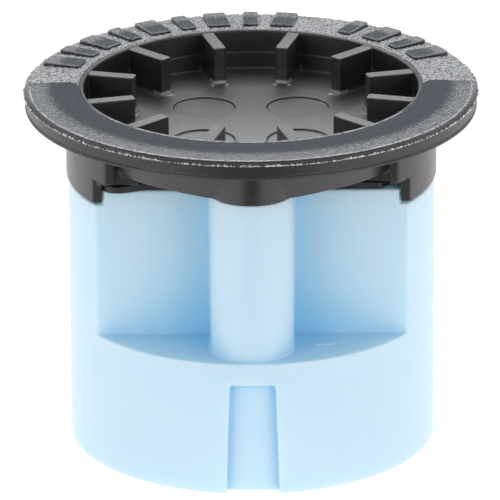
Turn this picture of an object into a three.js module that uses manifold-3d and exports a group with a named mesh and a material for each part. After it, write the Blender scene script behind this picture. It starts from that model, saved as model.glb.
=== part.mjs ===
// A fixed-arc, short-radius spray nozzle: the screw-on head of a pop-up lawn sprinkler.
// Millimetres. Z is the nozzle's axis with the deflector on top, and -Y is the side that sprays.
import * as THREE from "three";
import { mergeVertices } from "three/addons/utils/BufferGeometryUtils.js";
import Module from "manifold-3d";

const wasm = await Module();
wasm.setup();

// Driving dimensions
const BODY_RADIUS = 10;
const BODY_TOP = 15.8;
const NECK_RADIUS = 9.55; // the body's top, where the cap's skirt laps over it
const NECK_START = 15;
const RIM_CHAMFER = 0.3;

const SOCKET_RADIUS = 7.94; // half of the 5/8 inch riser thread's major diameter
const SOCKET_DEPTH = 6.3;
const SOCKET_CHAMFER = 0.4;
const THREAD_PITCH = 0.907; // 28 turns to the inch
const THREAD_DEPTH = 0.49;
const THREAD_TURNS = 4.25; // it ends short of the seat, so that the riser's end can lie flat there
const THREAD_START = 0.75;

const SEAT_THICKNESS = 1.25;
const SEAT_HOLE_RADIUS = 6.9;
const CHAMBER_RADIUS = 8.2;
const FRONT_WALL = 5.3; // from the axis to the flat wall behind the spray recess
const FRONT_WALL_THICKNESS = 1.2;
const LEDGE_HEIGHT = 7.55; // the shelf at the bottom of the spray recess

const COLUMN_RADIUS = 2.25;
const COLUMN_OFFSET = 7.46;
const COLUMN_TOP = 16.5;

const NOTCH_TOP = 6.3;
const NOTCH_DEPTH = 0.65;
const NOTCH_TOP_WIDTH = 2.45;
const NOTCH_BOTTOM_WIDTH = 2.85;

const PLATE_RADIUS = 8.7;
const PLATE_THICKNESS = 0.4;
const PLATE_FRONT = 5.18;
const PLATE_RIM_RADIUS = 7.95;
const PLATE_RIM_DEPTH = 0.8;
const PLATE_RIM_WALL = 0.8;
const PLATE_RIM_GAP = 0.3;
const KEY_RADIUS = 1.5; // the round lobe that keys the plate at one side of the recess
const KEY_CENTRE = [-7.2, -4.2];
const PORT_LENGTH = 3.4;
const PORT_WIDTH = 0.9;
const PORT_OFFSET = 4.6; // from the axis to the middle of each port, sideways
const PORT_FRONT = 3.75;

const CAP_TOP = 20;
const FLANGE_RADIUS = 12.35;
const FLANGE_TOP_RADIUS = 12;
const FLANGE_FOOT_RADIUS = 12.2;
const FLANGE_BEVEL = 0.22;
const FLANGE_THICKNESS = 1.1;
const DISH_RADIUS = 9.12;
const DISH_FLOOR = 17.8;
const CEILING = 16.95; // the underside of the dish, which turns the water outwards
const LIP_RADIUS = 8.92; // the deflector lip over the recess
const LIP_BOTTOM = 16.75;
const LIP_WALL = 0.87;
const LIP_TOP = 18;
const LIP_TOP_RADIUS = 9.4;
const LIP_SAG = 0.2; // how much lower the lip runs beside the boss
const LIP_SAG_START = 4.4; // from the middle plane to where the lip starts to run lower
const SHOULDER_HEIGHT = 18.25;
const SKIRT_RADIUS = 10.1;
const SKIRT_WALL = 0.45;
const SKIRT_BOTTOM = 15.15;
const SKIRT_FRONT = 6.28; // the upper skirt reaches further forward than its lower lap
const LAP_TOP = 16.5;
const LAP_FRONT = 5.35;
const WEB_FRONT = 5.13; // the wall between lip and skirt ends just behind the front edge of the plate
const BOSS_BACK = 6.3; // the boss over the column stops short of the port plate
const BOSS_STEP = 17.55; // from here up the boss stays out of the dish

const RIB_COUNT = 12;
const RIB_THICKNESS = 0.7;
const RIB_INNER_RADIUS = 6.55;
const RIB_DROP = 0.06; // from the flange's top down to the ribs

const MARK_HEIGHT = 0.18;
const MARK_WIDTH = 1.1;
const MARK_LENGTH = 2.1;
const MARK_RADIUS = 10.85;
const MARK_GROUPS = [
  { first: 80, step: 10, count: 9 }, // degrees anticlockwise from +X, seen from above
  { first: 27, step: 10.5, count: 4 },
];

const ROUND = 72; // facets round a full turn
const THREAD_ROUND = 36; // the same for the socket and its thread, so that their facets meet
const OVERSHOOT = 2; // how far a cutting tool runs past the piece
const BITE = 0.1; // how far joined pieces run into each other
const TURN = 2 * Math.PI;

const LIGHT_BLUE = { color: 0xb9dced, roughness: 0.38, metalness: 0 };
const BLACK = { color: 0x2b2c2e, roughness: 0.55, metalness: 0 };
const DARK_GREY = { color: 0x242322, roughness: 0.6, metalness: 0 };

// A helix that keeps its section upright: the section's x points away from the axis, and its y down.
class Helix extends THREE.Curve {
  constructor(radius, pitch, turns, start) {
    super();
    Object.assign(this, { radius, pitch, turns, start });
  }

  getPoint(t) {
    const angle = t * this.turns * TURN;
    const height = this.start + t * this.turns * this.pitch;
    return new THREE.Vector3(this.radius * Math.cos(angle), this.radius * Math.sin(angle), height);
  }

  getSpacedPoints(divisions) {
    return this.getPoints(divisions);
  }

  computeFrenetFrames(segments) {
    const frames = { tangents: [], normals: [], binormals: [] };
    for (let i = 0; i <= segments; i++) {
      const angle = (i / segments) * this.turns * TURN;
      frames.tangents.push(new THREE.Vector3(-Math.sin(angle), Math.cos(angle), 0));
      frames.normals.push(new THREE.Vector3(Math.cos(angle), Math.sin(angle), 0));
      frames.binormals.push(new THREE.Vector3(0, 0, -1));
    }
    return frames;
  }
}

// Turns a closed three.js geometry into a solid that can be joined and cut.
function solid(geometry) {
  const plain = geometry.index ? geometry : geometry.clone();
  plain.deleteAttribute("normal");
  plain.deleteAttribute("uv");
  const merged = mergeVertices(plain, 1e-4);
  return new wasm.Manifold(
    new wasm.Mesh({
      numProp: 3,
      vertProperties: merged.attributes.position.array,
      triVerts: new Uint32Array(merged.index.array),
    }),
  );
}

// Spins an outline of [radius, height] points, listed anticlockwise, about the Z axis.
function spin(outline, segments = ROUND) {
  const points = outline.map(([radius, height]) => new THREE.Vector2(radius, height));
  return solid(new THREE.LatheGeometry(points, segments).rotateX(Math.PI / 2));
}

function ring(inner, outer, bottom, top) {
  return spin([
    [inner, bottom],
    [outer, bottom],
    [outer, top],
    [inner, top],
    [inner, bottom],
  ]);
}

function disc(radius, bottom, top, segments = ROUND) {
  return spin(
    [
      [0, bottom],
      [radius, bottom],
      [radius, top],
      [0, top],
    ],
    segments,
  );
}

function block(x0, x1, y0, y1, z0, z1) {
  const box = new THREE.BoxGeometry(x1 - x0, y1 - y0, z1 - z0);
  return solid(box.translate((x0 + x1) / 2, (y0 + y1) / 2, (z0 + z1) / 2));
}

// Everything in front of a plane y = -distance, between two heights.
function frontOf(distance, bottom, top) {
  const reach = FLANGE_RADIUS + OVERSHOOT;
  return block(-reach, reach, -reach, -distance, bottom, top);
}

// A disc or ring with its front cut off flat.
function flatFronted(round, distance, bottom, top) {
  return round.subtract(frontOf(distance, bottom - OVERSHOOT, top + OVERSHOOT));
}

// The half-round column over the ledge, and the same outline continued by the cap's boss.
function column(bottom, top, back) {
  const post = disc(COLUMN_RADIUS, bottom, top, 36).translate([0, -COLUMN_OFFSET, 0]);
  return post.add(block(-COLUMN_RADIUS, COLUMN_RADIUS, -COLUMN_OFFSET, -back, bottom, top));
}

function mesh(name, made, finish) {
  const { vertProperties, triVerts } = made.getMesh();
  const geometry = new THREE.BufferGeometry();
  geometry.setAttribute("position", new THREE.BufferAttribute(vertProperties, 3));
  geometry.setIndex(new THREE.BufferAttribute(triVerts, 1));
  geometry.computeVertexNormals();
  const piece = new THREE.Mesh(geometry, new THREE.MeshStandardMaterial(finish));
  piece.name = name;
  return piece;
}

// The internal thread: one ridge wound up the socket's wall.
function threadRidge() {
  const root = THREAD_PITCH * 0.44;
  const crest = THREAD_PITCH * 0.1;
  const section = new THREE.Shape([
    new THREE.Vector2(-THREAD_DEPTH, -crest),
    new THREE.Vector2(BITE, -root),
    new THREE.Vector2(BITE, root),
    new THREE.Vector2(-THREAD_DEPTH, crest),
  ]);
  const path = new Helix(SOCKET_RADIUS, THREAD_PITCH, THREAD_TURNS, THREAD_START);
  const ridge = new THREE.ExtrudeGeometry(section, {
    steps: THREAD_TURNS * THREAD_ROUND,
    extrudePath: path,
    bevelEnabled: false,
  });
  return solid(ridge);
}

// The tapered groove down the front of the threaded skirt, open at the rim.
function frontNotch() {
  const outline = new THREE.Shape([
    new THREE.Vector2(-NOTCH_BOTTOM_WIDTH / 2, 0),
    new THREE.Vector2(NOTCH_BOTTOM_WIDTH / 2, 0),
    new THREE.Vector2(NOTCH_TOP_WIDTH / 2, NOTCH_TOP),
    new THREE.Vector2(-NOTCH_TOP_WIDTH / 2, NOTCH_TOP),
  ]);
  const depth = NOTCH_DEPTH + OVERSHOOT;
  const groove = new THREE.ExtrudeGeometry(outline, { depth, bevelEnabled: false });
  groove.rotateX(Math.PI / 2).translate(0, -(BODY_RADIUS - NOTCH_DEPTH), 0);
  const belowRim = block(
    -NOTCH_BOTTOM_WIDTH / 2,
    NOTCH_BOTTOM_WIDTH / 2,
    -BODY_RADIUS - OVERSHOOT,
    -(BODY_RADIUS - NOTCH_DEPTH),
    -OVERSHOOT,
    BITE,
  );
  return solid(groove).add(belowRim);
}

function nozzleBody() {
  const shell = spin([
    [0, 0],
    [BODY_RADIUS - RIM_CHAMFER, 0],
    [BODY_RADIUS, RIM_CHAMFER],
    [BODY_RADIUS, NECK_START],
    [NECK_RADIUS, NECK_START],
    [NECK_RADIUS, BODY_TOP],
    [0, BODY_TOP],
  ]);
  const socket = spin(
    [
      [0, -OVERSHOOT],
      [SOCKET_RADIUS + SOCKET_CHAMFER, -OVERSHOOT],
      [SOCKET_RADIUS + SOCKET_CHAMFER, 0],
      [SOCKET_RADIUS, SOCKET_CHAMFER],
      [SOCKET_RADIUS, SOCKET_DEPTH],
      [0, SOCKET_DEPTH],
    ],
    THREAD_ROUND,
  );
  const seatTop = SOCKET_DEPTH + SEAT_THICKNESS;
  const inside = FRONT_WALL - FRONT_WALL_THICKNESS;
  const top = BODY_TOP + OVERSHOOT;
  const seatHole = disc(SEAT_HOLE_RADIUS, SOCKET_DEPTH - BITE, seatTop + BITE);
  const chamber = disc(CHAMBER_RADIUS, seatTop, top);
  return shell
    .subtract(frontOf(FRONT_WALL, LEDGE_HEIGHT, top))
    .subtract(socket)
    .subtract(flatFronted(seatHole, inside, SOCKET_DEPTH, seatTop))
    .subtract(flatFronted(chamber, inside, seatTop, top))
    .add(column(LEDGE_HEIGHT - BITE, COLUMN_TOP, FRONT_WALL - BITE))
    .subtract(frontNotch())
    .add(threadRidge());
}

function keyLobe(bottom, top) {
  return disc(KEY_RADIUS, bottom, top, 36).translate([KEY_CENTRE[0], KEY_CENTRE[1], 0]);
}

// The thin plate on the body's top: two ports let the water up to the deflector.
function portPlate() {
  const top = BODY_TOP + PLATE_THICKNESS;
  const key = keyLobe(BODY_TOP, top).intersect(disc(NECK_RADIUS, BODY_TOP, top));
  const rimBottom = BODY_TOP - PLATE_RIM_DEPTH;
  const rimFront = FRONT_WALL - FRONT_WALL_THICKNESS - PLATE_RIM_GAP;
  const rim = ring(PLATE_RIM_RADIUS - PLATE_RIM_WALL, PLATE_RIM_RADIUS, rimBottom, BODY_TOP + BITE);
  let plate = flatFronted(disc(PLATE_RADIUS, BODY_TOP, top), PLATE_FRONT, BODY_TOP, top)
    .add(key)
    .add(flatFronted(rim, rimFront, rimBottom, BODY_TOP));
  for (const side of [-1, 1]) {
    const middle = side * PORT_OFFSET;
    plate = plate.subtract(
      block(
        middle - PORT_LENGTH / 2,
        middle + PORT_LENGTH / 2,
        -PORT_FRONT,
        -PORT_FRONT + PORT_WIDTH,
        BODY_TOP - OVERSHOOT,
        top + OVERSHOOT,
      ),
    );
  }
  return plate;
}

function dishRibs() {
  const top = CAP_TOP - RIB_DROP;
  const ribs = [];
  for (let i = 0; i < RIB_COUNT; i++) {
    const angle = ((i + 0.5) * 360) / RIB_COUNT;
    const rib = block(
      RIB_INNER_RADIUS,
      DISH_RADIUS + BITE,
      -RIB_THICKNESS / 2,
      RIB_THICKNESS / 2,
      DISH_FLOOR - BITE,
      top,
    );
    ribs.push(rib.rotate([0, 0, angle]));
  }
  return ribs;
}

// Plain raised bars on the flange, in place of lettering.
function flangeMarks() {
  const marks = [];
  for (const { first, step, count } of MARK_GROUPS) {
    for (let i = 0; i < count; i++) {
      const bar = block(
        MARK_RADIUS - MARK_LENGTH / 2,
        MARK_RADIUS + MARK_LENGTH / 2,
        -MARK_WIDTH / 2,
        MARK_WIDTH / 2,
        CAP_TOP - BITE,
        CAP_TOP + MARK_HEIGHT,
      );
      marks.push(bar.rotate([0, 0, first + i * step]));
    }
  }
  return marks;
}

// The wedge by which the lip's lower edge falls towards the boss.
function lipSag() {
  const outline = new THREE.Shape([
    new THREE.Vector2(-LIP_SAG_START, LIP_BOTTOM),
    new THREE.Vector2(-COLUMN_RADIUS, LIP_BOTTOM - LIP_SAG),
    new THREE.Vector2(COLUMN_RADIUS, LIP_BOTTOM - LIP_SAG),
    new THREE.Vector2(LIP_SAG_START, LIP_BOTTOM),
    new THREE.Vector2(LIP_SAG_START, LIP_BOTTOM + BITE),
    new THREE.Vector2(-LIP_SAG_START, LIP_BOTTOM + BITE),
  ]);
  const depth = FLANGE_RADIUS + OVERSHOOT;
  const wedge = new THREE.ExtrudeGeometry(outline, { depth, bevelEnabled: false });
  const lip = ring(LIP_RADIUS - LIP_WALL, LIP_RADIUS, LIP_BOTTOM - LIP_SAG - BITE, CEILING);
  return solid(wedge.rotateX(Math.PI / 2)).intersect(lip);
}

function deflectorCap() {
  const flangeBottom = CAP_TOP - FLANGE_THICKNESS;
  const plateTop = BODY_TOP + PLATE_THICKNESS;
  const bowl = spin([
    [0, CEILING],
    [LIP_RADIUS - LIP_WALL, CEILING],
    [LIP_RADIUS - LIP_WALL, LIP_BOTTOM],
    [LIP_RADIUS, LIP_BOTTOM],
    [LIP_TOP_RADIUS, LIP_TOP],
    [SKIRT_RADIUS, SHOULDER_HEIGHT],
    [SKIRT_RADIUS, flangeBottom],
    [FLANGE_FOOT_RADIUS, flangeBottom],
    [FLANGE_RADIUS, CAP_TOP - FLANGE_BEVEL],
    [FLANGE_TOP_RADIUS, CAP_TOP],
    [DISH_RADIUS, CAP_TOP],
    [DISH_RADIUS, DISH_FLOOR],
    [0, DISH_FLOOR],
  ]);
  // Either side of the spray window and behind it, a wall on the plate and its key joins the lip to
  // the skirt.
  const skirtInner = SKIRT_RADIUS - SKIRT_WALL;
  const skirt = ring(skirtInner, SKIRT_RADIUS, SKIRT_BOTTOM, SHOULDER_HEIGHT + BITE)
    .subtract(frontOf(LAP_FRONT, SKIRT_BOTTOM - OVERSHOOT, LAP_TOP))
    .subtract(frontOf(SKIRT_FRONT, LAP_TOP - BITE, SHOULDER_HEIGHT - BITE));
  const web = ring(LIP_RADIUS - LIP_WALL, skirtInner + BITE, plateTop, DISH_FLOOR - BITE);
  const overKey = web.intersect(keyLobe(plateTop, DISH_FLOOR));
  // The boss runs up to the flange and stays out of the dish.
  const aroundDish = disc(DISH_RADIUS + BITE, BOSS_STEP - BITE, CAP_TOP);
  const upperBoss = column(BOSS_STEP, flangeBottom + BITE, BOSS_BACK).subtract(aroundDish);
  let cap = bowl
    .add(flatFronted(web, WEB_FRONT, plateTop, DISH_FLOOR))
    .add(overKey)
    .add(lipSag())
    .add(skirt)
    .add(column(COLUMN_TOP, BOSS_STEP + BITE, BOSS_BACK))
    .add(upperBoss);
  for (const rib of dishRibs()) cap = cap.add(rib);
  for (const mark of flangeMarks()) cap = cap.add(mark);
  return cap;
}

const nozzle = new THREE.Group();
nozzle.add(mesh("nozzle_body", nozzleBody(), LIGHT_BLUE));
nozzle.add(mesh("port_plate", portPlate(), DARK_GREY));
nozzle.add(mesh("deflector_cap", deflectorCap(), BLACK));

export default nozzle;
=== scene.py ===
import math

import bpy
import numpy as np
from mathutils import Matrix, Vector, noise


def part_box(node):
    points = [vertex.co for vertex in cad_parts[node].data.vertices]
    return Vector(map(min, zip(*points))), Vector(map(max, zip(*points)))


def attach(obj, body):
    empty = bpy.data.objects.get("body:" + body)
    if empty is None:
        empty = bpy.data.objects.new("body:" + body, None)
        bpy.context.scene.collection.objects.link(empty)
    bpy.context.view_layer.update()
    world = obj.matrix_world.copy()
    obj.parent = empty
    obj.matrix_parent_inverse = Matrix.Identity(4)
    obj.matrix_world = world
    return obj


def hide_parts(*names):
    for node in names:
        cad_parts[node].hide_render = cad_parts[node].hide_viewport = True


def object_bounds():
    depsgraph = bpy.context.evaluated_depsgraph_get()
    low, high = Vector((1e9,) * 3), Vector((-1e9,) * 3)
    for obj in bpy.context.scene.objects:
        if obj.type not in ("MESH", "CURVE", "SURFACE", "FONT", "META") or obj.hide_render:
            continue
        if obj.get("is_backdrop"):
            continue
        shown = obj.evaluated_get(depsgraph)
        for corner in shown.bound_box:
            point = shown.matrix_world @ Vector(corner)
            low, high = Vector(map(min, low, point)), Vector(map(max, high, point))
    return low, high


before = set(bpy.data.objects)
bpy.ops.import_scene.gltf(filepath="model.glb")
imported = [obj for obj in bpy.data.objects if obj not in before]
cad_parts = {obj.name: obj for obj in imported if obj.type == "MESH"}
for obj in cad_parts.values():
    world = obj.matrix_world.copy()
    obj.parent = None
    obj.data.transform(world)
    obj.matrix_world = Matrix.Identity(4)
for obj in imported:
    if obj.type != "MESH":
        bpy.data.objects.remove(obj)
cad_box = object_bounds()

# Shapes are worked out in millimetres in the part's own frame: +Z up, the sprayed side at -Y.
MM = 0.001
_, body_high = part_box("nozzle_body")
_, plate_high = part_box("port_plate")
cap_low, cap_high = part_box("deflector_cap")

# The body: a barrel with a flat-walled recess in front, and a threaded socket below.
BODY_RADIUS = body_high.x / MM
COLUMN_TOP = body_high.z / MM
BODY_TOP = 15.8
NECK_RADIUS = 9.55
NECK_START = 15.0
SOCKET_RADIUS = 7.94
SOCKET_DEPTH = 6.3
SOCKET_CHAMFER = 0.4
THREAD_PITCH = 0.907
THREAD_DEPTH = 0.49
THREAD_START, THREAD_END = 0.75, 4.9
SEAT_TOP = 7.55
SEAT_HOLE_RADIUS = 6.9
CHAMBER_RADIUS = 8.2
FRONT_WALL = 5.3
INNER_WALL = 4.1
LEDGE_HEIGHT = 7.55
COLUMN_RADIUS = 2.25
COLUMN_OFFSET = 7.46
COLUMN_BACK = 5.0
COLUMN_FOOT = 6.5
NOTCH_TOP = 6.3
NOTCH_FLOOR = 9.35
NOTCH_TOP_HALF, NOTCH_BOTTOM_HALF = 1.225, 1.425
DASH_X, DASH_Y = 3.85, -6.95
DASH_HALF_LENGTH, DASH_HALF_WIDTH = 0.55, 0.17
DASH_HEIGHT = 0.07

# The plate: a thin disc with two ports, a rim below it and one lobe that keys it to the body.
PLATE_RADIUS = 8.7
PLATE_FRONT = 5.18
PLATE_TOP = plate_high.z / MM
KEY_RADIUS = 1.5
KEY_X, KEY_Y = -7.2, -4.2
PLATE_RIM_RADIUS = 7.55
PLATE_RIM_HALF = 0.4
PLATE_RIM_DEPTH = 0.8
PLATE_RIM_FRONT = 3.8
PORT_OFFSET = 4.6
PORT_HALF_LENGTH = 1.7
PORT_Y = -3.3
PORT_HALF_WIDTH = 0.45

# The cap's flange, and the raised marks on it.
FLANGE_RADIUS = cap_high.x / MM
CAP_TOP = 20.0
FLANGE_TOP_RADIUS = 12.0
FLANGE_BOTTOM = 18.9
FLANGE_DRAFT = 0.17
FLANGE_FOOT = 0.18
BEVEL = 0.25
CROWN_START, CROWN_DROP = 9.4, 0.07
MARK_TOP = 20.18
MARK_RADIUS = 10.85
MARK_HALF_LENGTH = 1.05
MARK_HALF_WIDTHS = (0.62, 0.42)
MARK_GROUPS = ((80.0, 10.0, 9), (27.0, 10.5, 4))  # first angle, step and count, in degrees

# The cap's dish, with its ribs.
DISH_RADIUS = 9.12
DISH_FLOOR = 17.8
DISH_DRAFT = 0.02
BEAD_OFFSET, BEAD_RADIUS = 0.14, 0.055
WALL_STEP, WALL_STEP_DEPTH = 18.75, 0.025
FLOOR_STEP, FLOOR_STEP_HEIGHT = -3.4, 0.1
EJECTOR_RADIUS = 1.68
EJECTOR_X, EJECTOR_Y = 2.56, 2.65
EJECTOR_DEPTH = 0.11
RIB_COUNT = 12
RIB_HALF = 0.35
RIB_DRAFT = 0.012
RIB_INNER_RADIUS = 6.55
RIB_TOP = 19.94

# The cap below its flange: the deflecting lip, the boss over the column, the skirt and the web.
CEILING = 16.95
LIP_RADIUS = 8.92
LIP_INNER_RADIUS = 8.05
LIP_BOTTOM = 16.75
LIP_TOP = 18.0
LIP_TOP_RADIUS = 9.4
LIP_SAG = 0.2
LIP_SAG_START = 4.4
SHOULDER_HEIGHT = 18.25
BOSS_BACK = 6.3
SKIRT_BOTTOM = cap_low.z / MM
SKIRT_RADIUS = 10.1
SKIRT_WALL = 0.45
SKIRT_FRONT = 6.28
LAP_TOP = 16.5
LAP_FRONT = 5.35
WEB_FRONT = 5.13
KEY_WEB_FRONT = 5.55
KEY_WEB_SIDE = -6.05

# The pebbled skin on the back of the flange.
PEBBLE_ARC = (-24, 204)  # in degrees, from +X towards +Y
PEBBLE_MIDDLE_RADIUS = 10.6
PEBBLE_FRONT = 0.55
PEBBLE_STRIP_RADIUS = 9.45
PEBBLE_STRIP_FRONT = -2.9
PEBBLE_SIZE = 0.15
PEBBLE_HEIGHT = 0.09

STEP = 0.09  # spacing of the sampling grid


# ---------------------------------------------------------------- distance fields
# A distance is negative inside the solid. The small radii round its edges.

def union(a, b, radius=0.0):
    """Joins two solids, with a fillet of that radius where they meet."""
    if np.isscalar(radius) and radius == 0.0:
        return np.minimum(a, b)
    return np.maximum(radius, np.minimum(a, b)) - np.hypot(
        np.maximum(radius - a, 0), np.maximum(radius - b, 0)
    )


def both(a, b, radius=0.0):
    """What two solids share, with its edges rounded to that radius."""
    return -union(-a, -b, radius)


def cut(a, b, radius=0.0):
    """a without b, with rounded edges."""
    return both(a, -b, radius)


def slab(value, low, high):
    return np.maximum(low - value, value - high)


def smooth_step(value, low, high):
    t = np.clip((value - low) / (high - low), 0, 1)
    return t * t * (3 - 2 * t)


def column_outline(x, y, back):
    """Plan of the half-round column: a round front on straight sides that run back to y = -back."""
    return np.hypot(x, y - np.clip(y, -COLUMN_OFFSET, -back)) - COLUMN_RADIUS


def thread_depth(x, y, z):
    """How far the thread's ridge stands in from the socket's wall, at each angle and height."""
    turn = np.arctan2(y, x) / (2 * math.pi)
    along = (z - THREAD_START) / THREAD_PITCH - turn
    ridge = 1 - 2 * np.abs(along - np.floor(along) - 0.5)
    flank = np.clip((ridge - 0.12) / 0.7, 0, 1)
    run = smooth_step(z, THREAD_START - 0.3, THREAD_START + 0.5)
    return THREAD_DEPTH * flank * run * (1 - smooth_step(z, THREAD_END - 0.4, THREAD_END + 0.4))


def notch_distance(x, y, z):
    """The shallow notch in the front of the barrel, a little wider at its foot."""
    half = NOTCH_TOP_HALF + (NOTCH_BOTTOM_HALF - NOTCH_TOP_HALF) * (NOTCH_TOP - z) / NOTCH_TOP
    return both(both(np.abs(x) - half, z - NOTCH_TOP, 0.2), y + NOTCH_FLOOR, 0.05)


def dash_distance(x, y, z):
    """The plain raised dash on the ledge."""
    plan = both(np.abs(x - DASH_X) - DASH_HALF_LENGTH, np.abs(y - DASH_Y) - DASH_HALF_WIDTH, 0.1)
    return both(plan, slab(z, LEDGE_HEIGHT - 0.2, LEDGE_HEIGHT + DASH_HEIGHT), 0.04)


def waterway_distance(x, y, z, radius):
    """The body's inside: the threaded socket, the hole in its seat and the water chamber above."""
    wall = SOCKET_RADIUS + np.maximum(0, SOCKET_CHAMFER - z) - thread_depth(x, y, z)
    socket = both((radius - wall) * 0.8, z - SOCKET_DEPTH, 0.12)  # 0.8 allows for the thread's slope
    hole = both(radius - SEAT_HOLE_RADIUS, -INNER_WALL - y, 0.4)
    chamber = both(both(radius - CHAMBER_RADIUS, -INNER_WALL - y, 0.4), SEAT_TOP - z, 0.2)
    return union(union(socket, both(hole, SOCKET_DEPTH - 1 - z)), chamber)


def body_distance(x, y, z):
    radius = np.hypot(x, y)
    barrel = both(radius - BODY_RADIUS, z - NECK_START, 0.12)
    neck = both(radius - NECK_RADIUS, z - BODY_TOP, 0.1)
    solid = union(barrel, neck, 0.08)
    recess = both(y + FRONT_WALL, LEDGE_HEIGHT - z, 0.22)
    solid = cut(solid, recess, 0.1)
    column = both(column_outline(x, y, COLUMN_BACK), slab(z, COLUMN_FOOT, COLUMN_TOP), 0.06)
    solid = union(solid, column, 0.16)
    solid = both(solid, -z, 0.16)
    solid = cut(solid, notch_distance(x, y, z), 0.09)
    solid = union(solid, dash_distance(x, y, z), 0.03)
    return cut(solid, waterway_distance(x, y, z, radius), 0.07)


def plate_distance(x, y, z):
    radius = np.hypot(x, y)
    outline = both(radius - PLATE_RADIUS, -PLATE_FRONT - y, 0.1)
    key = both(np.hypot(x - KEY_X, y - KEY_Y) - KEY_RADIUS, radius - NECK_RADIUS, 0.1)
    sheet = both(union(outline, key, 0.3), slab(z, BODY_TOP, PLATE_TOP), 0.05)
    rim = both(np.abs(radius - PLATE_RIM_RADIUS) - PLATE_RIM_HALF, -PLATE_RIM_FRONT - y, 0.1)
    rim = both(rim, slab(z, BODY_TOP - PLATE_RIM_DEPTH, BODY_TOP + 0.1), 0.05)
    along = np.abs(np.abs(x) - PORT_OFFSET) - PORT_HALF_LENGTH
    port = both(along, np.abs(y - PORT_Y) - PORT_HALF_WIDTH, 0.15)
    return cut(union(sheet, rim, 0.1), port, 0.05)


def crown(radius):
    """How far the flange's top has fallen away at that radius."""
    return CROWN_DROP * np.clip((radius - CROWN_START) / (FLANGE_TOP_RADIUS - CROWN_START), 0, 1) ** 2


def flange_distance(radius, z):
    """The flange as a disc: a side wall with a little draft, a bevel, and a top that falls away outwards."""
    wall = radius - (FLANGE_RADIUS - np.maximum(0, CAP_TOP - BEVEL - z) * FLANGE_DRAFT)
    run = FLANGE_RADIUS - FLANGE_TOP_RADIUS
    slope = math.hypot(run, BEVEL)
    bevel = ((radius - FLANGE_TOP_RADIUS) * BEVEL + (z - CAP_TOP) * run) / slope
    disc = both(wall, slab(z, FLANGE_BOTTOM, CAP_TOP - crown(radius)), 0.05)
    foot = both(radius - FLANGE_RADIUS + 0.05, slab(z, FLANGE_BOTTOM, FLANGE_BOTTOM + FLANGE_FOOT), 0.07)
    return union(both(disc, bevel, 0.05), foot, 0.03)


def marks_distance(x, y, z, radius):
    """Plain raised pads round the back of the flange."""
    pads = np.full_like(radius, 9.0)
    angle = np.degrees(np.arctan2(y, x))
    wide, narrow = MARK_HALF_WIDTHS
    for first, step, count in MARK_GROUPS:
        index = np.clip(np.round((angle - first) / step), 0, count - 1)
        off = np.radians(angle - first - index * step)
        across = np.abs(radius * np.sin(off)) - np.where(index % 2 == 0, wide, narrow)
        along = np.abs(radius * np.cos(off) - MARK_RADIUS) - MARK_HALF_LENGTH
        pads = np.minimum(pads, both(across, along, 0.15))
    return both(pads, slab(z, CAP_TOP - 0.3, MARK_TOP), 0.05)


def ribs_distance(x, y, z, radius):
    sector = 2 * math.pi / RIB_COUNT
    angle = np.arctan2(y, x)
    off = angle - (np.floor(angle / sector) + 0.5) * sector
    half = RIB_HALF + (RIB_TOP - z) * RIB_DRAFT
    side = np.abs(radius * np.sin(off)) - half
    end = RIB_INNER_RADIUS - radius * np.cos(off)
    plan = both(both(side, end, 0.12), radius - DISH_RADIUS - 0.1)
    return both(plan, slab(z, DISH_FLOOR - 0.1, RIB_TOP), 0.06)


def dish_floor_distance(x, y, z):
    """Below the dish's floor: four sunk ejector circles, and a low step along the front."""
    step = FLOOR_STEP_HEIGHT * (1 - smooth_step(y, FLOOR_STEP - 0.03, FLOOR_STEP + 0.03))
    floor = z - DISH_FLOOR - step
    spot = np.hypot(np.abs(x) - EJECTOR_X, np.abs(y) - EJECTOR_Y) - EJECTOR_RADIUS
    return cut(floor, both(spot, DISH_FLOOR - EJECTOR_DEPTH - z), 0.045)


def dish_distance(x, y, z, radius):
    """The dish's hollow. Its wall has draft, and is a little narrower below a faint step."""
    narrower = WALL_STEP_DEPTH * (1 - smooth_step(z, WALL_STEP - 0.08, WALL_STEP + 0.08))
    draft = DISH_DRAFT * (CAP_TOP - z) + narrower
    return both(radius - DISH_RADIUS + draft, -dish_floor_distance(x, y, z), 0.1)


def cone_distance(radius, z, low, high):
    """Distance to a cone through two points, each given as radius and height."""
    run = high[0] - low[0]
    rise = high[1] - low[1]
    return ((radius - low[0]) * rise - (z - low[1]) * run) / math.hypot(rise, run)


def lip_distance(x, y, z, radius):
    """The neck under the flange and the deflecting lip below it, whose edge sags beside the boss."""
    shoulder = cone_distance(radius, z, (LIP_TOP_RADIUS, LIP_TOP), (SKIRT_RADIUS, SHOULDER_HEIGHT))
    neck = both(both(radius - SKIRT_RADIUS, shoulder, 0.15), slab(z, LIP_TOP - 0.1, FLANGE_BOTTOM + 0.3))
    sag = np.clip((LIP_SAG_START - np.abs(x)) / (LIP_SAG_START - COLUMN_RADIUS), 0, 1) * (y < 0)
    lip = cone_distance(radius, z, (LIP_RADIUS, LIP_BOTTOM), (LIP_TOP_RADIUS, LIP_TOP))
    lip = both(lip, slab(z, LIP_BOTTOM - LIP_SAG * sag, LIP_TOP + 0.2), 0.06)
    return union(neck, lip, 0.1)


def skirt_distance(y, z, radius):
    """The skirt round the body's top: open in front, and reaching further forward above its laps."""
    middle = SKIRT_RADIUS - SKIRT_WALL / 2
    ring = np.abs(radius - middle) - SKIRT_WALL / 2
    skirt = both(ring, slab(z, SKIRT_BOTTOM, SHOULDER_HEIGHT + 0.3), 0.05)
    skirt = cut(skirt, both(y + LAP_FRONT, z - LAP_TOP), 0.05)
    return cut(skirt, both(y + SKIRT_FRONT, LAP_TOP - 0.2 - z), 0.05)


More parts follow.
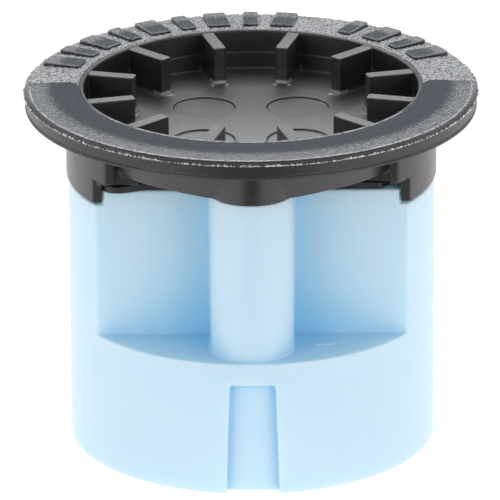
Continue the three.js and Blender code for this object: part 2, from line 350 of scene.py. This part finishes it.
def web_distance(x, y, z, radius):
    """The filling between lip and skirt, which comes further forward over the plate's key lobe."""
    middle = SKIRT_RADIUS - SKIRT_WALL / 2
    web = both(slab(radius, LIP_INNER_RADIUS, middle), slab(z, PLATE_TOP, DISH_FLOOR - 0.15), 0.03)
    over_key = both(-y - KEY_WEB_FRONT, x - KEY_WEB_SIDE, 0.1)
    return both(web, union(-y - WEB_FRONT, over_key, 0.1), 0.04)


def cap_distance(x, y, z):
    radius = np.hypot(x, y)
    solid = union(flange_distance(radius, z), lip_distance(x, y, z, radius), 0.12)
    boss = both(column_outline(x, y, BOSS_BACK), slab(z, COLUMN_TOP, FLANGE_BOTTOM + 0.1), 0.04)
    solid = union(solid, boss, 0.12)
    solid = cut(solid, dish_distance(x, y, z, radius), 0.09)
    bead = np.hypot(radius - DISH_RADIUS - BEAD_OFFSET, z - CAP_TOP + 0.03) - BEAD_RADIUS
    solid = union(solid, bead, 0.04)
    under = both(radius - LIP_INNER_RADIUS, z - CEILING, 0.1)
    solid = cut(solid, under, 0.05)
    fillet = 0.05 + 0.17 * (1 - smooth_step(z, DISH_FLOOR + 0.15, DISH_FLOOR + 0.45))
    solid = union(solid, ribs_distance(x, y, z, radius), fillet * (radius < DISH_RADIUS + 0.05))
    solid = union(solid, marks_distance(x, y, z, radius), 0.03)
    solid = union(solid, skirt_distance(y, z, radius), 0.05)
    return union(solid, web_distance(x, y, z, radius), 0.08)


# ---------------------------------------------------------------- from distance to mesh

def sample(distance, xs, ys, zs):
    grid_x, grid_y = np.meshgrid(xs, ys, indexing="ij")
    field = np.empty((len(xs), len(ys), len(zs)), np.float32)
    for k, height in enumerate(zs):
        field[:, :, k] = distance(grid_x, grid_y, np.float32(height))
    return field


def surface_net(field, xs, ys, zs):
    """Quads over the zero level of a sampled field: one vertex in each crossed cell."""
    inside = field < 0
    axes = (xs, ys, zs)
    corners = [(i, j, k) for i in (0, 1) for j in (0, 1) for k in (0, 1)]
    count = np.zeros([n - 1 for n in field.shape], np.uint8)
    for i, j, k in corners:
        count += inside[i:i + count.shape[0], j:j + count.shape[1], k:k + count.shape[2]]
    cells = np.argwhere((count > 0) & (count < 8))
    index = np.full(count.shape, -1, np.int64)
    index[tuple(cells.T)] = np.arange(len(cells))

    total = np.zeros((len(cells), 3))
    crossings = np.zeros(len(cells))
    for start in corners:
        for axis in range(3):
            if start[axis]:
                continue
            end = list(start)
            end[axis] = 1
            a = cells + start
            b = cells + end
            fa = field[tuple(a.T)]
            fb = field[tuple(b.T)]
            crossed = (fa < 0) != (fb < 0)
            t = np.where(crossed, fa / np.where(crossed, fa - fb, 1), 0)
            point = np.stack([axes[n][a[:, n]] for n in range(3)], 1)
            point[:, axis] += t * (axes[axis][b[:, axis]] - axes[axis][a[:, axis]])
            total += point * crossed[:, None]
            crossings += crossed
    points = total / crossings[:, None]

    quads = []
    for axis in range(3):
        u, v = (axis + 1) % 3, (axis + 2) % 3
        low = [slice(None)] * 3
        high = [slice(None)] * 3
        low[axis] = slice(None, -1)
        high[axis] = slice(1, None)
        edges = np.argwhere(inside[tuple(low)] != inside[tuple(high)])
        outward = inside[tuple(edges.T)]
        around = []
        for du, dv in ((-1, -1), (0, -1), (0, 0), (-1, 0)):
            cell = edges.copy()
            cell[:, u] += du
            cell[:, v] += dv
            around.append(index[tuple(cell.T)])
        quad = np.stack(around, 1)
        quad[~outward] = quad[~outward][:, ::-1]
        quads.append(quad)
    return points, np.concatenate(quads)


def gradient(distance, points, reach):
    slopes = np.empty_like(points)
    for axis in range(3):
        shift = np.zeros(3)
        shift[axis] = reach
        ahead = distance(*(points + shift).T)
        behind = distance(*(points - shift).T)
        slopes[:, axis] = (ahead - behind) / (2 * reach)
    return slopes


def settle(distance, points, rounds=2, reach=0.01):
    """Moves each point straight onto the zero level."""
    for _ in range(rounds):
        slopes = gradient(distance, points, reach)
        steep = np.maximum((slopes**2).sum(1), 0.05)
        step = (distance(*points.T) / steep)[:, None] * slopes
        length = np.maximum(np.linalg.norm(step, axis=1, keepdims=True), 1e-9)
        points = points - step * np.minimum(1, 0.6 * STEP / length)
    return points


def relax(points, quads, share=0.5):
    """Draws each point towards the middle of its neighbours, which evens the mesh out."""
    total = np.zeros_like(points)
    count = np.zeros(len(points))
    for n in range(4):
        a, b = quads[:, n], quads[:, (n + 1) % 4]
        for to, other in ((a, b), (b, a)):
            for axis in range(3):
                total[:, axis] += np.bincount(to, points[other, axis], len(points))
            count += np.bincount(to, minlength=len(points))
    return points + share * (total / count[:, None] - points)


def new_mesh(name, points, faces):
    mesh = bpy.data.meshes.new(name)
    mesh.from_pydata((points * MM).tolist(), [], faces.tolist())
    mesh.update()
    return mesh


def moulded(name, distance, low, high, keep, fine=()):
    """A moulded piece: the zero level of its distance field, meshed inside a box from low to high.

    It is thinned out, mostly where it is flat, until keep times its triangles are left. The bands
    of height listed as fine have small detail, so they get closer layers.
    """
    margin = 3 * STEP
    axes = [np.arange(a - margin, b + margin + STEP, STEP) + 0.013 for a, b in zip(low, high)]
    for bottom, top in fine:
        layers = np.arange(bottom, top, STEP / 3)
        coarse = axes[2][(axes[2] < bottom - STEP / 6) | (axes[2] > top)]
        axes[2] = np.sort(np.concatenate([coarse, layers]))
    field = sample(distance, *axes)
    points, quads = surface_net(field, *axes)
    for _ in range(2):
        points = settle(distance, relax(points, quads))
    piece = bpy.data.objects.new(name, new_mesh(name, points, quads))
    bpy.context.scene.collection.objects.link(piece)
    thin = piece.modifiers.new("thin", "DECIMATE")
    thin.ratio = keep
    thin.use_collapse_triangulate = True
    view = bpy.context.evaluated_depsgraph_get()
    mesh = bpy.data.meshes.new_from_object(piece.evaluated_get(view))
    piece.modifiers.clear()
    piece.data = mesh
    points = np.empty(len(mesh.vertices) * 3)
    mesh.vertices.foreach_get("co", points)
    points = settle(distance, points.reshape(-1, 3) / MM, 1)
    mesh.vertices.foreach_set("co", (points * MM).ravel())
    slopes = gradient(distance, points, 0.012)
    slopes /= np.maximum(np.linalg.norm(slopes, axis=1, keepdims=True), 1e-9)
    mesh.polygons.foreach_set("use_smooth", np.ones(len(mesh.polygons), bool))
    mesh.normals_split_custom_set_from_vertices(slopes.tolist())
    mesh.update()
    return piece


# ---------------------------------------------------------------- materials

class Recipe:
    """A plastic put together node by node, with the surface's own place in millimetres."""

    def __init__(self, name, colour, roughness):
        self.material = bpy.data.materials.new(name)
        self.material.use_nodes = True
        self.tree = self.material.node_tree
        self.surface = self.tree.nodes["Principled BSDF"]
        self.set("Base Color", (*colour, 1))
        self.set("Roughness", roughness)
        place = self.tree.nodes.new("ShaderNodeTexCoord").outputs["Object"]
        scale = self.tree.nodes.new("ShaderNodeVectorMath")
        scale.operation = "SCALE"
        scale.inputs["Scale"].default_value = 1 / MM
        self.tree.links.new(place, scale.inputs[0])
        self.place = scale.outputs[0]
        split = self.tree.nodes.new("ShaderNodeSeparateXYZ")
        self.tree.links.new(self.place, split.inputs[0])
        self.x, self.y, self.z = split.outputs
        self.radius = self.distance(self.x, self.y)

    def set(self, socket, value):
        self.plug(value, self.surface.inputs[socket])

    def plug(self, value, socket):
        if isinstance(value, bpy.types.NodeSocket):
            self.tree.links.new(value, socket)
        else:
            socket.default_value = value

    def maths(self, operation, *values):
        node = self.tree.nodes.new("ShaderNodeMath")
        node.operation = operation
        for value, socket in zip(values, node.inputs):
            self.plug(value, socket)
        return node.outputs[0]

    def distance(self, x, y):
        squares = [self.maths("MULTIPLY", value, value) for value in (x, y)]
        return self.maths("SQRT", self.maths("ADD", *squares))

    def rise(self, value, low, high, bottom=0.0, top=1.0):
        """Runs smoothly from bottom to top as value goes from low to high."""
        node = self.tree.nodes.new("ShaderNodeMapRange")
        node.interpolation_type = "SMOOTHSTEP"
        for number, socket in zip((value, low, high, bottom, top), node.inputs):
            self.plug(number, socket)
        return node.outputs[0]

    def fall(self, value, low, high):
        return self.rise(value, low, high, 1.0, 0.0)

    def band(self, value, low, high, soft):
        """1 between low and high, 0 outside."""
        above = self.rise(value, low - soft, low + soft)
        below = self.fall(value, high - soft, high + soft)
        return self.maths("MULTIPLY", above, below)

    def all(self, *masks):
        share = masks[0]
        for mask in masks[1:]:
            share = self.maths("MULTIPLY", share, mask)
        return share

    def noise(self, cell, detail=2.0, stretch=(1, 1, 1)):
        """Noise whose grains are about cell millimetres across."""
        place = self.tree.nodes.new("ShaderNodeMapping")
        place.inputs["Scale"].default_value = stretch
        self.tree.links.new(self.place, place.inputs["Vector"])
        node = self.tree.nodes.new("ShaderNodeTexNoise")
        node.inputs["Scale"].default_value = 1 / cell
        node.inputs["Detail"].default_value = detail
        self.tree.links.new(place.outputs[0], node.inputs["Vector"])
        return node.outputs["Fac"]

    def pits(self, cell):
        node = self.tree.nodes.new("ShaderNodeTexVoronoi")
        node.inputs["Scale"].default_value = 1 / cell
        self.tree.links.new(self.place, node.inputs["Vector"])
        return node.outputs["Distance"]

    def painted_shade_openness(self, reach):
        """1 on an open surface, towards 0 in a deep corner; it sets where shade is painted into the colour.
        """
        node = self.tree.nodes.new("ShaderNodeAmbientOcclusion")
        node.samples = 8
        node.only_local = True
        node.inputs["Distance"].default_value = reach * MM
        return self.rise(node.outputs["AO"], 0.25, 1.0)

    def tint(self, share, a, b):
        """Colour a where share is 0 and b where it is 1."""
        node = self.tree.nodes.new("ShaderNodeMix")
        node.data_type = "RGBA"
        self.plug(share, node.inputs[0])
        for colour, socket in ((a, node.inputs[6]), (b, node.inputs[7])):
            self.plug(colour if isinstance(colour, bpy.types.NodeSocket) else (*colour, 1), socket)
        return node.outputs[2]

    def blend(self, share, a, b):
        """Number a where share is 0 and b where it is 1."""
        node = self.tree.nodes.new("ShaderNodeMix")
        self.plug(share, node.inputs[0])
        self.plug(a, node.inputs[2])
        self.plug(b, node.inputs[3])
        return node.outputs[0]

    def bump(self, height):
        """Height is in millimetres."""
        node = self.tree.nodes.new("ShaderNodeBump")
        node.inputs["Distance"].default_value = MM
        self.tree.links.new(height, node.inputs["Height"])
        self.set("Normal", node.outputs[0])


def grey(value):
    return (value, value, value)


def blue_plastic():
    """Pale translucent blue plastic with a soft satin skin."""
    blue = Recipe("blue_plastic", (0.40, 0.66, 0.83), 0.34)
    cloud = blue.noise(3.5, 2.0)
    skin = blue.tint(cloud, (0.53, 0.695, 0.80), (0.56, 0.72, 0.82))
    # Painted shade: in corners and recesses, such as the ledge under the cap, the colour turns a deeper,
    # more saturated blue.
    blue.set("Base Color", blue.tint(blue.painted_shade_openness(4.5), (0.33, 0.66, 0.87), skin))
    grain = blue.noise(0.22, 3.0)
    blue.set("Roughness", blue.rise(grain, 0.3, 0.7, 0.3, 0.42))
    drawn = blue.noise(0.5, 2.0, (1, 1, 0.12))  # faint marks of the mould's draw, along Z
    height = blue.maths("MULTIPLY", grain, 0.0025)
    blue.bump(blue.maths("ADD", height, blue.maths("MULTIPLY", drawn, 0.004)))
    blue.set("Subsurface Weight", 0.5)
    blue.set("Subsurface Radius", (0.6, 0.9, 1.0))
    blue.set("Subsurface Scale", 0.0018)
    blue.set("Sheen Weight", 0.06)
    blue.set("Sheen Roughness", 0.45)
    return blue.material


def plate_plastic():
    plate = Recipe("plate_black", (0.01, 0.01, 0.011), 0.45)
    grain = plate.noise(0.15, 2.0)
    plate.set("Roughness", plate.rise(grain, 0.3, 0.7, 0.38, 0.52))
    plate.bump(plate.maths("MULTIPLY", grain, 0.004))
    return plate.material


def cap_plastic():
    """Black plastic: polished on the front of the flange, matt in the dish, satin elsewhere."""
    cap = Recipe("cap_black", grey(0.012), 0.4)
    ring = cap.all(
        cap.rise(cap.z, CAP_TOP - 0.14, CAP_TOP - 0.08),
        cap.rise(cap.radius, DISH_RADIUS + 0.08, DISH_RADIUS + 0.18),
    )
    outside = cap.rise(cap.radius, FLANGE_TOP_RADIUS - 1.6, FLANGE_TOP_RADIUS - 0.3)
    below = cap.fall(cap.z, FLANGE_BOTTOM - 0.2, FLANGE_BOTTOM - 0.1)
    dish = cap.all(
        cap.fall(cap.radius, DISH_RADIUS - 0.12, DISH_RADIUS - 0.02),
        cap.rise(cap.z, DISH_FLOOR - 0.5, DISH_FLOOR - 0.3),
    )
    rib_tops = cap.all(dish, cap.rise(cap.z, RIB_TOP - 0.09, RIB_TOP - 0.02))
    floor = cap.all(dish, cap.fall(cap.z, DISH_FLOOR + 0.15, DISH_FLOOR + 0.35))
    fillets = cap.all(dish, cap.band(cap.z, DISH_FLOOR + 0.13, DISH_FLOOR + 0.27, 0.02))
    pads = cap.rise(cap.z, MARK_TOP - 0.08, MARK_TOP - 0.02)
    speckle = cap.noise(0.09, 2.0)
    coarse = cap.noise(0.22, 2.0)
    patches = cap.noise(0.9, 2.0)

    # The polished ring has a faint painted blue reflection in its colour, and is flecked, most of all
    # towards its outside.
    colour = cap.tint(ring, grey(0.009), (0.006, 0.008, 0.015))
    # Painted light: below the flange the black is made lighter, standing in for light on the lip, skirt and
    # boss.
    colour = cap.tint(below, colour, grey(0.02))
    patchy = cap.maths("MULTIPLY", cap.maths("SUBTRACT", patches, 0.5), 0.3)
    spread = cap.rise(outside, 0.0, 1.0, 0.64, 0.48)
    over = cap.maths("SUBTRACT", cap.maths("ADD", coarse, patchy), spread)
    colour = cap.tint(cap.all(ring, cap.rise(over, 0.0, 0.08)), colour, (0.03, 0.032, 0.035))

    # The dish's floor is lighter in front as painted light and darker towards the back wall as painted
    # shade, and a dark line runs round each ejector circle as a painted shadow.
    floor_painted_light = cap.fall(cap.y, -5.5, 4.0)
    colour = cap.tint(floor, colour, cap.tint(floor_painted_light, grey(0.05), grey(0.20)))
    across = cap.maths("SUBTRACT", cap.maths("ABSOLUTE", cap.x), EJECTOR_X)
    along = cap.maths("SUBTRACT", cap.maths("ABSOLUTE", cap.y), EJECTOR_Y)
    circle = cap.band(cap.distance(across, along), EJECTOR_RADIUS - 0.02, EJECTOR_RADIUS + 0.08, 0.03)
    colour = cap.tint(cap.all(floor, circle), colour, grey(0.02))

    # Paler marks: the ribs' tops are scuffed and lightened as painted light, the marks' tops are speckled,
    # and the ribs' feet, the marks' rims and the flange's edge carry painted highlights.
    # Rib tops: scuffed grain, and also lightened as painted light on the tops.
    colour = cap.tint(rib_tops, colour, cap.tint(coarse, grey(0.03), grey(0.14)))
    colour = cap.tint(cap.all(pads, cap.rise(speckle, 0.45, 0.7)), colour, grey(0.09))
    # Painted highlight: a pale band at each rib's foot stands in for the glint on its fillet.
    rib_foot_glints = cap.all(
        cap.band(cap.z, DISH_FLOOR + 0.08, DISH_FLOOR + 0.25, 0.02),
        cap.band(cap.radius, RIB_INNER_RADIUS - 0.3, RIB_INNER_RADIUS + 0.65, 0.1),
    )
    colour = cap.tint(rib_foot_glints, colour, grey(0.22))
    # Painted highlight: a broken pale line round the marks' rims.
    mark_rim_highlights = cap.all(cap.band(cap.z, MARK_TOP - 0.07, MARK_TOP - 0.02, 0.01), cap.rise(coarse, 0.3, 0.5))
    colour = cap.tint(mark_rim_highlights, colour, grey(0.17))
    # Painted highlight: a broken pale line along the flange's top outer edge.
    edge_highlight = cap.all(
        cap.band(cap.radius, FLANGE_TOP_RADIUS - 0.03, FLANGE_TOP_RADIUS + 0.07, 0.03),
        cap.rise(cap.z, CAP_TOP - 0.2, CAP_TOP - 0.12),
        cap.rise(coarse, 0.35, 0.5),
    )
    cap.set("Base Color", cap.tint(edge_highlight, colour, (0.22, 0.22, 0.215)))

    rough = cap.blend(ring, cap.rise(coarse, 0.3, 0.7, 0.36, 0.44), cap.rise(outside, 0.0, 1.0, 0.14, 0.22))
    rough = cap.blend(below, rough, cap.rise(coarse, 0.3, 0.7, 0.28, 0.34))
    rough = cap.blend(floor, rough, cap.rise(coarse, 0.3, 0.7, 0.32, 0.38))
    cap.set("Roughness", cap.blend(fillets, rough, 0.15))
    cap.set("Specular IOR Level", 0.68)

    fine = cap.blend(floor, 0.004, 0.008)
    fine = cap.blend(ring, fine, cap.rise(outside, 0.0, 1.0, 0.008, 0.022))
    dents = cap.maths("MULTIPLY", coarse, cap.blend(cap.all(ring, outside), 0.0, 0.045))
    cap.bump(cap.maths("ADD", cap.maths("MULTIPLY", speckle, fine), dents))
    return cap.material


def pebble_plastic():
    """The same black plastic where the mould was spark-eroded: pebbled, with a painted highlight on its high
    spots for their sparkle.
    """
    pebble = Recipe("pebbled_black", grey(0.04), 0.5)
    pits = pebble.pits(0.13)
    speckle = pebble.noise(0.07, 3.0)
    # Painted highlight: the pebbles' high spots are made pale grey to stand in for their sparkle.
    high = pebble.rise(pebble.noise(0.12, 2.0), 0.35, 0.6)
    pebble.set("Base Color", pebble.tint(high, grey(0.035), grey(0.36)))
    pebble.set("Roughness", pebble.rise(speckle, 0.3, 0.7, 0.4, 0.6))
    height = pebble.maths("MULTIPLY", pits, -0.02)
    pebble.bump(pebble.maths("ADD", height, pebble.maths("MULTIPLY", speckle, 0.02)))
    return pebble.material


def flash_plastic():
    flash = Recipe("flash_grey", (0.2, 0.2, 0.19), 0.45)
    speckle = flash.noise(0.1, 2.0)
    pale = flash.rise(speckle, 0.4, 0.6)
    flash.set("Base Color", flash.tint(pale, grey(0.08), (0.62, 0.62, 0.60)))
    flash.bump(flash.maths("MULTIPLY", speckle, 0.02))
    return flash.material


# ---------------------------------------------------------------- pieces

def add_piece(name, points, faces):
    piece = bpy.data.objects.new(name, new_mesh(name, points, faces))
    bpy.context.scene.collection.objects.link(piece)
    piece.data.polygons.foreach_set("use_smooth", np.ones(len(faces), bool))
    return piece


def grid_faces(rows, columns, closed=False):
    """Quads over rows of points; closed joins the last point of each row to its first."""
    along = columns if closed else columns - 1
    i, j = np.meshgrid(np.arange(rows - 1), np.arange(along), indexing="ij")
    row = i.ravel() * columns
    here = j.ravel()
    following = (here + 1) % columns
    corners = (row + here, row + following, row + columns + following, row + columns + here)
    return np.stack(corners, 1)


def parting_flash():
    """The ragged thread of flash left on the flange's parting line."""
    count, sides = ((1800, 6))
    angle = np.linspace(0, 2 * math.pi, count, endpoint=False)
    along = np.stack([np.cos(angle), np.sin(angle)], 1) * FLANGE_RADIUS
    ragged = np.array([noise.noise(Vector((x / 0.7, y / 0.7, 3.0))) for x, y in along])
    fine = np.array([noise.noise(Vector((x / 0.13, y / 0.13, 7.0))) for x, y in along])
    thickness = np.clip(0.038 + 0.04 * ragged + 0.06 * fine, 0.014, 0.07)
    height = CAP_TOP - BEVEL - 0.03 + 0.03 * ragged + 0.05 * fine
    reach = FLANGE_RADIUS - 0.02 + 0.03 * fine
    rows = []
    for k in range(sides):
        turn = 2 * math.pi * k / sides
        out = reach + thickness * math.cos(turn)
        up = height + thickness * math.sin(turn)
        rows.append(np.stack([out * np.cos(angle), out * np.sin(angle), up], 1))
    rows.append(rows[0])
    points = np.concatenate(rows[:sides])
    faces = grid_faces(sides + 1, count, closed=True) % len(points)
    return add_piece("parting_flash", points, faces)


def pebbled_skin():
    """The pebbled back of the flange's top, with a strip along the dish that runs on forwards."""
    spacing = 0.05
    radii = np.arange(DISH_RADIUS + 0.2, FLANGE_RADIUS - 0.03, spacing)
    angles = np.radians(np.arange(*PEBBLE_ARC, math.degrees(spacing / PEBBLE_MIDDLE_RADIUS)))
    radius, angle = np.meshgrid(radii, angles, indexing="ij")
    x = radius * np.cos(angle)
    y = radius * np.sin(angle)
    strip = both(radius - PEBBLE_STRIP_RADIUS, PEBBLE_STRIP_FRONT - y)
    inside = -union(PEBBLE_FRONT - y, strip, 0.6)
    pebbles = np.empty(x.size)
    for k, (across, along) in enumerate(zip(x.ravel(), y.ravel())):
        spot = Vector((across / PEBBLE_SIZE, along / PEBBLE_SIZE, 0.5))
        pebbles[k] = noise.voronoi(spot)[0][0] + 0.35 * noise.noise(spot * 0.45)
    pebbles = PEBBLE_HEIGHT * (0.55 - pebbles.reshape(x.shape))
    rim = smooth_step(radius, radii[0], radii[0] + 0.1)
    rim *= 1 - smooth_step(radius, radii[-1] - 0.1, radii[-1])
    share = smooth_step(inside, 0, 0.12) * rim
    bevel = CAP_TOP - (radius - FLANGE_TOP_RADIUS) * BEVEL / (FLANGE_RADIUS - FLANGE_TOP_RADIUS)
    flange_top = np.minimum(CAP_TOP - crown(radius), bevel)
    # The skin's edges dip just under the flange's surface, so none shows.
    z = flange_top - 0.03 + share * (0.045 + np.clip(pebbles, -0.01, 0.07))
    points = np.stack([x, y, z], -1).reshape(-1, 3)
    faces = grid_faces(len(radii), len(angles))
    shown = (share.ravel()[faces] > 0).any(1)
    faces = faces[shown]
    used, corners = np.unique(faces, return_inverse=True)
    return add_piece("pebbled_skin", points[used], corners.reshape(faces.shape))


def fit_out(piece, material):
    piece.data.materials.append(material)
    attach(piece, "root")


body = moulded(
    "moulded_body", body_distance,
    low=(-BODY_RADIUS, -BODY_RADIUS, 0),
    high=(BODY_RADIUS, BODY_RADIUS, COLUMN_TOP),
    keep=0.27,
    fine=((LEDGE_HEIGHT - 0.1, LEDGE_HEIGHT + 0.15),),
)
fit_out(body, blue_plastic())
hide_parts("nozzle_body")

plate = moulded(
    "moulded_plate", plate_distance,
    low=(-9.6, -6, BODY_TOP - PLATE_RIM_DEPTH),
    high=(9, 9, PLATE_TOP),
    keep=0.4,
)
fit_out(plate, plate_plastic())
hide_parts("port_plate")

cap = moulded(
    "moulded_cap", cap_distance,
    low=(-FLANGE_RADIUS, -FLANGE_RADIUS, SKIRT_BOTTOM),
    high=(FLANGE_RADIUS, FLANGE_RADIUS, MARK_TOP),
    keep=0.32,
    fine=(
        (DISH_FLOOR - 0.12, DISH_FLOOR + 0.15),
        (WALL_STEP - 0.1, WALL_STEP + 0.1),
        (CAP_TOP - 0.4, MARK_TOP + 0.06),
    ),
)
fit_out(cap, cap_plastic())
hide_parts("deflector_cap")
fit_out(parting_flash(), flash_plastic())
fit_out(pebbled_skin(), pebble_plastic())


# ---------------------------------------------------------------- stage

def flat_sheet(name, half_width, front, back, height, shade, glow):
    """A level sheet, in metres, from -half_width to half_width and from y = front to y = back."""
    near = [(-half_width, front, height), (half_width, front, height)]
    far = [(half_width, back, height), (-half_width, back, height)]
    mesh = bpy.data.meshes.new(name)
    mesh.from_pydata(near + far, [], [(0, 1, 2, 3)])
    sheet = bpy.data.objects.new(name, mesh)
    bpy.context.scene.collection.objects.link(sheet)
    material = bpy.data.materials.new(name)
    material.use_nodes = True
    surface = material.node_tree.nodes["Principled BSDF"]
    surface.inputs["Base Color"].default_value = (*grey(shade), 1)
    surface.inputs["Roughness"].default_value = 0.9
    surface.inputs["Emission Color"].default_value = (1, 1, 1, 1)
    surface.inputs["Emission Strength"].default_value = glow
    mesh.materials.append(material)
    sheet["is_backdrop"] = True
    return sheet


def softbox(name, azimuth, elevation, distance, size, radiance):
    """A rectangular lamp aimed at the part, at that azimuth, from -Y towards +X, and elevation."""
    light = bpy.data.lights.new(name, "AREA")
    light.shape = "RECTANGLE"
    light.size, light.size_y = size
    light.energy = radiance * math.pi * size[0] * size[1]
    lamp = bpy.data.objects.new(name, light)
    bpy.context.scene.collection.objects.link(lamp)
    turn, lift = math.radians(azimuth), math.radians(elevation)
    way = Vector((math.sin(turn) * math.cos(lift), -math.cos(turn) * math.cos(lift), math.sin(lift)))
    lamp.location = Vector((0, 0, 0.011)) + way * distance
    lamp.rotation_euler = (-way).to_track_quat("-Z", "Y").to_euler()


def camera():
    distance = 0.4089
    elevation = math.radians(20.51)
    roll = math.radians(-0.337)
    aim = Vector((-0.0001, 0, 0.0104))
    offset = Vector((0, -math.cos(elevation), math.sin(elevation))) * distance
    lens = bpy.data.cameras.new("camera")
    lens.sensor_width = 36
    lens.lens = 536.9112
    eye = bpy.data.objects.new("camera", lens)
    bpy.context.scene.collection.objects.link(eye)
    turn = (-offset).to_track_quat("-Z", "Y").to_matrix().to_4x4()
    eye.matrix_world = Matrix.Translation(aim + offset) @ turn @ Matrix.Rotation(roll, 4, "Z")
    bpy.context.scene.camera = eye


flat_sheet("floor", half_width=3.0, front=-3.0, back=3.0, height=-0.00002, shade=0.1, glow=1.0)
flag = flat_sheet(
    "dark_flag", half_width=0.018, front=-0.3, back=-0.028, height=0.0005, shade=0.02, glow=0.0
)
flag.visible_camera = False  # a card that only darkens what the front walls reflect
camera()
for side in (-1, 1):
    softbox("key_box", side * 42, 8, distance=0.55, size=(0.34, 0.42), radiance=2.9)
    softbox("side_box", side * 108, 18, distance=0.6, size=(0.4, 0.3), radiance=1.7)
softbox("top_box", 180, 50, distance=0.6, size=(0.6, 0.35), radiance=4.8)
softbox("back_box", 180, 5, distance=0.6, size=(0.8, 0.08), radiance=1.8)
world = bpy.data.worlds.new("studio")
world.use_nodes = True
sky = world.node_tree.nodes["Background"]
sky.inputs["Color"].default_value = (0.86, 0.92, 1, 1)
sky.inputs["Strength"].default_value = 0.5
bpy.context.scene.world = world
bpy.context.scene.view_settings.view_transform = "Standard"

boxes = [[list(corner) for corner in box] for box in (cad_box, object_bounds())]
